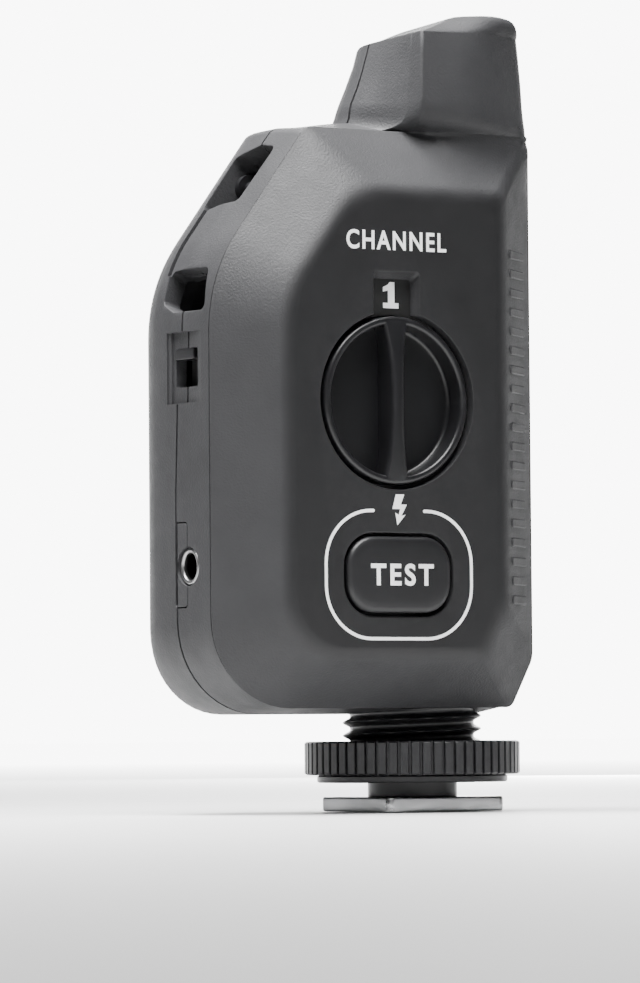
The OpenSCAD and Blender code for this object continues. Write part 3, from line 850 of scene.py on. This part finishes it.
def build_plate():
    """Insert behind the jack."""
    corners = ((13.6, 13.1), (24.7, 13.1), (24.7, 15.4), (13.6, 15.4))
    loop = rounded(corners, [0.65, 0.65, 0.1, 0.1], 5, 3)
    plate = loft("jack_plate_insert", side_rings(loop, ((2.0, 0.0), (0.1, 0.0), (0.02, -0.08))))
    return combine(plate, jack_cutter(4, 0.05))


def build_slider():
    """Nub of the power switch, with a neck inside the slot."""
    loop = rounded([(46.5, 11.75), (48.0, 11.75), (48.0, 16.15), (46.5, 16.15)], [0.25] * 4, 4)
    nub = loft("power_slider_nub", side_rings(loop, ((2.3, 0.0), (0.55, 0.0), (0.42, -0.05), (0.36, -0.18))))
    wall = WALL - LEFT_W
    neck = box("neck", (wall + 0.3, 11.2, 45.9), (wall + 2.3, 14.2, 47.9))
    return combine(nub, neck, "UNION")


def build_ribs():
    """Raised grip ribs on the right facet."""
    width = PANEL_IN * RIGHT_SHARE
    lean = math.atan2(CREASE_D, width)
    parts = []
    for k in range(RIBS):
        rings = []
        for height, grow in ((-0.3, 0.0), (0.06, 0.0), (0.15, -0.08), (0.19, -0.2)):
            rings.append(at_depth(rounded_rect(*RIB, 0.58, 5, grow), -height))
        rib = loft("rib", rings)
        spot = (RIGHT_W - width * 0.5, CREASE_D * 0.5, 14.5 + RIB_STEP * k)
        rib.data.transform(Matrix.Translation(spot) @ Matrix.Rotation(lean, 4, "Z"))
        parts.append(rib)
    return join("facet_grip_ribs", parts)


# ---------------------------------------- foot, thread and ring, in row millimetres

def helix_radius(z, turn):
    """Radius of the thread at a height and a share of a turn; it runs out at both ends."""
    low, high = THREAD_Z
    off_crest = abs((z / PITCH - turn) % 1.0 - 0.5)
    rise = smooth(1 - off_crest / 0.42)
    fade = min(1.0, (z - low) / 0.7 + 0.05, (high - z) / 0.5 + 0.2)
    return THREAD_R + THREAD_RISE * rise * fade


def build_post():
    """Threaded post: a true helix over the thread's length, a neck above it and a flange."""
    low, high = THREAD_Z
    around, rows = 96, 84

    def discs(profile):
        return [at_height(circle(radius, around), z) for radius, z in profile]

    rings = discs(((BORE_R, 10.9), (BORE_R, 2.0), (6.1, 2.0), (6.1, 3.95)))
    for k in range(rows + 1):
        z = low + (high - low) * k / rows
        loop = [polar(helix_radius(z, i / around), 2 * math.pi * i / around) for i in range(around)]
        rings.append(at_height(loop, z))
    rings += discs(((7.8, 14.0), (7.8, 16.6), (8.8, FLANGE_Z[0]), (8.8, FLANGE_Z[1]), (BORE_R, FLANGE_Z[1])))
    return loft("threaded_post_screw", rings)


def build_ring():
    """Knurled lock ring with flat ridges, chamfered at both ends."""
    # (turn, depth) of one ridge and the groove after it, the turn as a share of the step
    ridge = ((-0.36, 0.07), (-0.31, 0.0), (0.31, 0.0), (0.36, 0.07), (0.42, 0.42), (0.58, 0.42))
    low, high = RING_Z

    def section(z, radius_at):
        loop = []
        for i in range(RIDGES):
            for turn, depth in ridge:
                loop.append(polar(radius_at(depth), 2 * math.pi * (i + turn) / RIDGES))
        return at_height(loop, z)

    def outer(inset, z):
        return section(z, lambda depth: RING_R - max(depth, inset))

    def inner(radius, z):
        return section(z, lambda depth: radius)

    rings = [outer(0.38, low), outer(0.14, low + 0.12), outer(0.0, low + 0.26), outer(0.0, high - 0.26),
             outer(0.14, high - 0.12), outer(0.38, high), inner(13.4, high), inner(13.2, high - 0.15),
             inner(10.6, high - 0.15), inner(10.4, high), inner(9.95, high), inner(RING_BORE_R, high - 0.3),
             inner(RING_BORE_R, low + 0.3), inner(9.9, low)]
    return loft("lock_ring_knurl", rings, loop=True)


def build_washer():
    low, high = 3.95, 4.97
    profile = ((RING_BORE_R, low), (12.75, low), (13.0, low + 0.2), (13.0, high - 0.22), (12.75, high),
               (RING_BORE_R, high))
    return loft("clamp_washer_ring", [at_height(circle(r, 128), z) for r, z in profile], loop=True)


def foot_screw_spots():
    """Places of the four screws in the foot plate."""
    return [polar(FOOT_SCREW_R, math.pi / 4 + k * math.pi / 2) for k in range(4)]


def build_foot():
    """Shoe foot plate with countersunk screw holes."""
    rings = []
    for z, inset in ((0.0, 0.3), (0.08, 0.1), (0.3, 0.0), (1.7, 0.0), (1.92, 0.1), (2.0, 0.25)):
        rings.append(at_height(rounded_rect(*FOOT_SIZE, 1.0, 6, -inset), z))
    plate = loft("foot_plate_metal", rings)
    cuts = [loft("hole", [at_height(circle(2.4, 48), z) for z in (-1, 3)])]
    profile = ((2.2, -0.5), (0.95, 0.9), (0.95, 3))
    for x, y in foot_screw_spots():
        cuts.append(loft("sink", [at_height(circle(r, 40), z, x, y) for r, z in profile]))
    return combine(plate, join("cuts", cuts))


def build_foot_screws():
    """Countersunk screws with a cross recess."""
    parts = []
    profile = ((1.45, 0.06), (1.62, 0.12), (1.62, 0.2), (0.88, 0.92), (0.88, 7.4), (0.6, 7.5))
    for x, y in foot_screw_spots():
        screw = loft("screw", [at_height(circle(r, 32), z, x, y) for r, z in profile])
        for w, h in ((0.18, 1.0), (1.0, 0.18)):
            combine(screw, box("slot", (x - w, y - h, -0.5), (x + w, y + h, 0.5)))
        parts.append(screw)
    return join("foot_screw_heads", parts)


# ---------------------------------------- materials

class Tree:
    """Short-hand for building the nodes of a material or a world."""

    def __init__(self, owner):
        owner.use_nodes = True
        self.owner = owner
        self.nodes = owner.node_tree.nodes
        self.links = owner.node_tree.links
        self.shader = self.nodes.get("Principled BSDF") or self.nodes["Background"]

    def put(self, node, key, value):
        """Links or sets one input."""
        if isinstance(value, bpy.types.NodeSocket):
            self.links.new(value, node.inputs[key])
        else:
            node.inputs[key].default_value = value

    def add(self, kind, values=None, **settings):
        node = self.nodes.new(kind)
        for key, value in settings.items():
            setattr(node, key, value)
        for key, value in (values or {}).items():
            self.put(node, key, value)
        return node

    def finish(self, **inputs):
        """Sets the shader's inputs, spaces in their names written as underscores."""
        for key, value in inputs.items():
            self.put(self.shader, key.replace("_", " "), value)
        return self.owner

    def coords(self, space="Object"):
        return self.add("ShaderNodeTexCoord").outputs[space]

    def axis(self, name):
        return self.add("ShaderNodeSeparateXYZ", {"Vector": self.coords()}).outputs[name]

    def noise(self, scale, detail=3.0, rough=0.55):
        values = {"Vector": self.coords(), "Scale": scale, "Detail": detail, "Roughness": rough}
        return self.add("ShaderNodeTexNoise", values).outputs["Fac"]

    def ramp(self, value, low, high, out_low, out_high, curve="LINEAR"):
        values = {"Value": value, "From Min": low, "From Max": high, "To Min": out_low, "To Max": out_high}
        return self.add("ShaderNodeMapRange", values, interpolation_type=curve).outputs["Result"]

    def blotches(self, scale, detail, low, high):
        """Uneven value between low and high."""
        return self.ramp(self.noise(scale, detail), 0.3, 0.7, low, high)

    def math(self, operation, a, b):
        return self.add("ShaderNodeMath", {0: a, 1: b}, operation=operation).outputs[0]

    def dot(self, a, b):
        return self.add("ShaderNodeVectorMath", {0: a, 1: b}, operation="DOT_PRODUCT").outputs["Value"]

    def scaled(self, color, factor):
        values = {0: color, "Scale": factor}
        return self.add("ShaderNodeVectorMath", values, operation="SCALE").outputs["Vector"]

    def mix(self, factor, a, b):
        node = self.add("ShaderNodeMix", {"Factor": factor, "A": a, "B": b}, data_type="RGBA")
        return node.outputs["Result"]

    def bump(self, height, distance, strength=1.0, below=None):
        values = {"Height": height, "Distance": distance, "Strength": strength}
        if below:
            values["Normal"] = below
        return self.add("ShaderNodeBump", values).outputs["Normal"]

    def wear(self, amount):
        """Bright on convex edges."""
        point = self.add("ShaderNodeNewGeometry").outputs["Pointiness"]
        edge = self.ramp(point, 0.52, 0.6, 0.0, amount)
        return self.math("MULTIPLY", edge, self.ramp(self.noise(900), 0.35, 0.65, 0.3, 1.0))


def material_tree(name):
    return Tree(bpy.data.materials.new(name))


def rgba(color, factor=1.0):
    return (*[c * factor for c in color], 1.0)


def plastic(name, color, rough=0.45, grain=0.35, depth=0.012, wear=0.15, variation=0.08, spec=0.5):
    """Moulded plastic: fine grain, uneven gloss, slightly polished edges. Lengths in millimetres."""
    t = material_tree(name)
    worn = [min(1, c * 2.2 + 0.02) for c in color]
    tint = t.scaled(color, t.blotches(90, 4, 0.88, 1.12))
    return t.finish(
        Base_Color=t.mix(t.wear(wear), tint, rgba(worn)),
        Roughness=t.blotches(260, 5, rough - variation, rough + variation),
        Specular_IOR_Level=spec,
        Normal=t.bump(t.noise(1 / (grain * MM), 2, 0.6), depth * MM),
    )


def shell_plastic(name, color):
    """Spark-eroded body texture; the panel's face is smoother and darker."""
    t = material_tree(name)
    face = print_hi[1]
    facet = t.ramp(t.axis("Y"), face + 0.15 * MM, face + 0.9 * MM, 0.0, 1.0)
    body = t.mix(facet, rgba(color, 0.5), t.scaled(color, t.blotches(120, 4, 0.9, 1.1)))
    coarse = t.bump(t.noise(1 / (0.3 * MM), 2, 0.5), 0.05 * MM, t.ramp(facet, 0, 1, 0.25, 1.0))
    return t.finish(
        Base_Color=t.mix(t.wear(0.22), body, rgba(color, 2.4)),
        Roughness=t.math("ADD", t.ramp(facet, 0, 1, 0.47, 0.56), t.blotches(300, 5, -0.05, 0.05)),
        Specular_IOR_Level=0.3,
        Normal=t.bump(t.noise(1 / (0.16 * MM), 1, 0.5), 0.012 * MM, 0.6, coarse),
    )


def metal(name, color, rough=0.28, grain=0.2, depth=0.004, stretch=(1, 1, 1), wear=0.2):
    """Metal with brushing along the stretched axis and uneven gloss."""
    t = material_tree(name)
    bright = [min(1, c * 1.15 + 0.05) for c in color]
    mapped = t.add("ShaderNodeMapping", {"Vector": t.coords(), "Scale": stretch}).outputs["Vector"]
    brushed = {"Vector": mapped, "Scale": 1 / (grain * MM), "Detail": 2.0}
    lines = t.add("ShaderNodeTexNoise", brushed).outputs["Fac"]
    return t.finish(
        Metallic=1.0,
        Base_Color=t.mix(t.wear(wear), rgba(color), rgba(bright)),
        Roughness=t.blotches(400, 5, rough - 0.08, rough + 0.1),
        Normal=t.bump(lines, depth * MM),
    )


def jack_metal(name):
    """Darker nickel rim, with painted shade that turns it near black down the barrel."""
    t = material_tree(name)
    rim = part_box("jack_barrel")[0][0]
    # painted shade: the mask darkens the colour from the rim inwards, where shade falls inside the barrel
    inside = t.ramp(t.axis("X"), rim + 0.25 * MM, rim + 0.9 * MM, 0.0, 1.0)
    return t.finish(
        Metallic=1.0,
        # nickel at the rim, mixed to painted shade (near black) down the barrel
        Base_Color=t.mix(inside, rgba((0.3, 0.3, 0.3)), rgba((0.012, 0.012, 0.012))),
        Roughness=t.blotches(600, 4, 0.26, 0.42),
        Normal=t.bump(t.noise(2500, 2), 0.004 * MM),
    )


def board_lacquer(name, color):
    """Solder mask over faint tracks."""
    t = material_tree(name)
    values = {"Vector": t.coords(), "Scale": 500.0, "Mortar Size": 0.03, "Color1": rgba(color),
              "Color2": rgba(color, 1.25), "Mortar": rgba(color, 1.9)}
    brick = t.add("ShaderNodeTexBrick", values)
    return t.finish(
        Base_Color=brick.outputs["Color"],
        Roughness=t.blotches(500, 4, 0.25, 0.42),
        Normal=t.bump(brick.outputs["Fac"], -0.02 * MM),
    )


def sleeve(name, color):
    """Printed cell sleeve, with a plain band towards one end."""
    t = material_tree(name)
    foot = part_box("battery_cell_left")[0][2]
    band = t.ramp(t.axis("Z"), foot + 34 * MM, foot + 34.1 * MM, 0, 1)
    return t.finish(
        Base_Color=t.mix(band, rgba(color), rgba((0.62, 0.63, 0.65))),
        Metallic=0.35,
        Roughness=t.blotches(350, 4, 0.2, 0.36),
        Normal=t.bump(t.noise(1500, 2), 0.006 * MM),
    )


def make_materials():
    """One material to each material slot of the record, and the jack's own."""
    return {
        "shell": shell_plastic("shell_texture", (0.024, 0.024, 0.0255)),
        "dial_plastic": plastic("dial_semi_gloss", (0.008, 0.008, 0.009), 0.33, 0.5, 0.004, 0.25, 0.02, 0.4),
        "disc": plastic("disc_black", (0.004, 0.004, 0.004), 0.6, 0.3, 0.006, 0.05, 0.03),
        "button": plastic("button_satin", (0.009, 0.009, 0.01), 0.42, 0.3, 0.012, 0.2, 0.03, 0.4),
        "print": plastic("white_ink", (0.95, 0.95, 0.95), 0.5, 0.12, 0.004, 0.0, 0.05),
        "ring_plastic": plastic("ring_satin", (0.008, 0.008, 0.009), 0.36, 0.4, 0.008, 0.35, 0.05, 0.4),
        "foot_metal": metal("foot_brushed", (0.6, 0.6, 0.61), 0.34, 0.15, 0.002, (1, 0.06, 1), 0.0),
        "jack_nickel_painted_shade": jack_metal("jack_nickel_painted_shade"),
        "nickel": metal("nickel_plate", (0.62, 0.61, 0.59), 0.26, 0.3, 0.003),
        "gold": metal("gold_plate", (0.86, 0.62, 0.25), 0.2, 0.3, 0.002),
        "copper": metal("copper_wire", (0.72, 0.33, 0.16), 0.3, 0.2, 0.003),
        "steel": metal("zinc_steel", (0.5, 0.5, 0.51), 0.35, 0.2, 0.004),
        "black_steel": metal("black_zinc", (0.08, 0.08, 0.085), 0.38, 0.2, 0.004),
        "board": board_lacquer("solder_mask", (0.01, 0.09, 0.045)),
        "chip": plastic("chip_epoxy", (0.014, 0.014, 0.014), 0.55, 0.1, 0.006, 0.05),
        "shield": metal("tinned_can", (0.66, 0.67, 0.68), 0.32, 0.3, 0.004),
        "capacitor": plastic("capacitor_sleeve", (0.012, 0.02, 0.07), 0.25, 0.5, 0.003, 0.1),
        "switch_plastic": plastic("switch_black", (0.014, 0.014, 0.014), 0.45, 0.25, 0.01, 0.1),
        "cream_plastic": plastic("natural_nylon", (0.62, 0.55, 0.38), 0.4, 0.4, 0.006, 0.1),
        "lamp": plastic("lamp_red", (0.5, 0.02, 0.015), 0.2, 0.5, 0.002, 0.0),
        "cell": sleeve("cell_sleeve", (0.02, 0.05, 0.16)),
        "insulator": plastic("insulator_black", (0.01, 0.01, 0.01), 0.4, 0.3, 0.006, 0.1),
    }


# ---------------------------------------- stage

CAMERA_YAW = math.radians(31.819)
CAMERA_PAN = math.radians(-0.85)
CAMERA_TILT = math.radians(2.654)
CAMERA_ROLL = math.radians(-0.464)
CAMERA_DISTANCE = 705.44  # millimetres from the panel's face, and height above the body's foot
CAMERA_HEIGHT = -3.88
CAMERA_LENS = 194.37
AWAY = (math.sin(CAMERA_YAW), math.cos(CAMERA_YAW), 0)  # level direction from the camera to the object


def emitter(name, size, location, target, power):
    data = bpy.data.lights.new(name, "AREA")
    data.shape = "RECTANGLE"
    data.size, data.size_y = size
    data.energy = power
    lamp = linked(name, data)
    lamp.location = location
    lamp.rotation_mode = "QUATERNION"
    lamp.rotation_quaternion = (Vector(target) - Vector(location)).to_track_quat("-Z", "Y")


def build_floor():
    """Pale floor that glows behind the object."""
    bm = bmesh.new()
    bmesh.ops.create_grid(bm, x_segments=1, y_segments=1, size=12.0)
    floor = make_object("floor", bm)
    floor.location = (0, 0, -0.0001)
    t = material_tree("floor_paint")
    tone = t.blotches(3.0, 4, 0.6, 0.64)
    floor.data.materials.append(t.finish(
        Base_Color=t.add("ShaderNodeCombineColor", {0: tone, 1: tone, 2: tone}).outputs[0],
        Roughness=0.7,
        Emission_Strength=t.ramp(t.dot(t.coords(), AWAY), 0.1, 1.5, 0.03, 8.0),
        Emission_Color=(1, 1, 1, 1),
    ))


def build_world():
    """White backdrop behind the object only, so that its front stays dark."""
    world = bpy.data.worlds.new("studio")
    bpy.context.scene.world = world
    t = Tree(world)
    glow = t.ramp(t.dot(t.coords("Generated"), AWAY), 0.84, 0.98, 0.02, 9.0, "SMOOTHSTEP")
    t.finish(Color=(1, 1, 1, 1), Strength=glow)


def build_lights():
    middle = (-0.01, 0.0, 0.06)
    emitter("top_softbox", (0.26, 0.22), (-0.085, -0.06, 0.33), middle, 5.1)
    emitter("shoulder_light", (0.1, 0.1), (-0.07, 0.04, 0.29), (-0.02, 0.0, 0.08), 1.8)
    emitter("left_fill", (0.3, 0.5), (-0.75, -0.35, 0.12), middle, 0.04)
    emitter("right_rim", (0.1, 0.5), (0.36, 0.5, 0.16), middle, 3.5)
    emitter("front_fill", (0.6, 0.5), (-0.1, -0.95, 0.3), middle, 0.06)


def build_camera():
    """Long lens from the left front, a little below the object's middle."""
    data = bpy.data.cameras.new("camera")
    data.lens = CAMERA_LENS
    data.sensor_width = 36.0
    data.sensor_fit = "AUTO"
    data.dof.use_dof = False
    data.clip_start = 0.01
    data.clip_end = 50.0
    camera = linked("camera", data)
    sy, cy = math.sin(CAMERA_YAW), math.cos(CAMERA_YAW)
    ahead = Vector((sy, cy, 0)) * math.cos(CAMERA_PAN) + Vector((cy, -sy, 0)) * math.sin(CAMERA_PAN)
    right = Vector((cy, -sy, 0)) * math.cos(CAMERA_PAN) - Vector((sy, cy, 0)) * math.sin(CAMERA_PAN)
    up = Vector((0, 0, 1)) * math.cos(CAMERA_TILT) - ahead * math.sin(CAMERA_TILT)
    ahead = ahead * math.cos(CAMERA_TILT) + Vector((0, 0, 1)) * math.sin(CAMERA_TILT)
    level = right * math.cos(CAMERA_ROLL) + up * math.sin(CAMERA_ROLL)
    up = up * math.cos(CAMERA_ROLL) - right * math.sin(CAMERA_ROLL)
    spot = Vector((-sy * CAMERA_DISTANCE, -cy * CAMERA_DISTANCE, CAMERA_HEIGHT))
    matrix = Matrix((level, up, -ahead)).transposed().to_4x4()
    matrix.translation = ORIGIN + spot * MM
    camera.matrix_world = matrix
    bpy.context.scene.camera = camera


# ---------------------------------------- put it together

SLOT_OF = {part["node"]: part["material_slot"] for part in frame["record"]["subparts"]}
mats = make_materials()


def place(obj, body, nodes, slot=None, angle=38, in_body=True, look=None):
    shift = Matrix.Translation(ORIGIN) if in_body else Matrix()
    obj.data.transform(shift @ Matrix.Scale(MM, 4))
    obj.data.shade_smooth()
    obj.data.set_sharp_from_angle(angle=math.radians(angle))
    mod = obj.modifiers.new("normals", "WEIGHTED_NORMAL")
    mod.keep_sharp = True
    mod.weight = 80
    bake(obj)
    slot = slot or SLOT_OF[nodes]
    obj.data.materials.clear()
    obj.data.materials.append(mats[look or slot])
    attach(obj, body)
    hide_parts(nodes)


front, rear, door = build_shells()
place(front, "root", "front_shell")
place(rear, "root", "rear_shell")
place(door, "door", "battery_door")
place(build_dial(), "dial", "channel_dial")
place(build_disc(), "dial", "number_disc")
place(build_numbers(), "dial", "number_disc", "print")
place(build_button(), "button", "test_button")
place(build_button_label(), "button", "test_button", "print")
place(build_print(), "root", "panel_print")
place(build_jack(), "root", "jack_barrel", look="jack_nickel_painted_shade")
place(build_plate(), "root", "jack_plate")
place(build_slider(), "slider", "power_slider")
place(build_ribs(), "root", "front_shell", "shell")
place(build_post(), "root", "threaded_post", in_body=False)
place(build_ring(), "ring", "lock_ring", angle=30, in_body=False)
place(build_washer(), "ring_carrier", "clamp_washer", in_body=False)
place(build_foot(), "root", "foot_plate", in_body=False)
place(build_foot_screws(), "root", "foot_screws", in_body=False)

for name, node in frame["nodes"].items():
    if not node.hide_render:
        node.data.materials.clear()
        node.data.materials.append(mats[SLOT_OF[name]])

build_floor()
build_world()
build_lights()
build_camera()
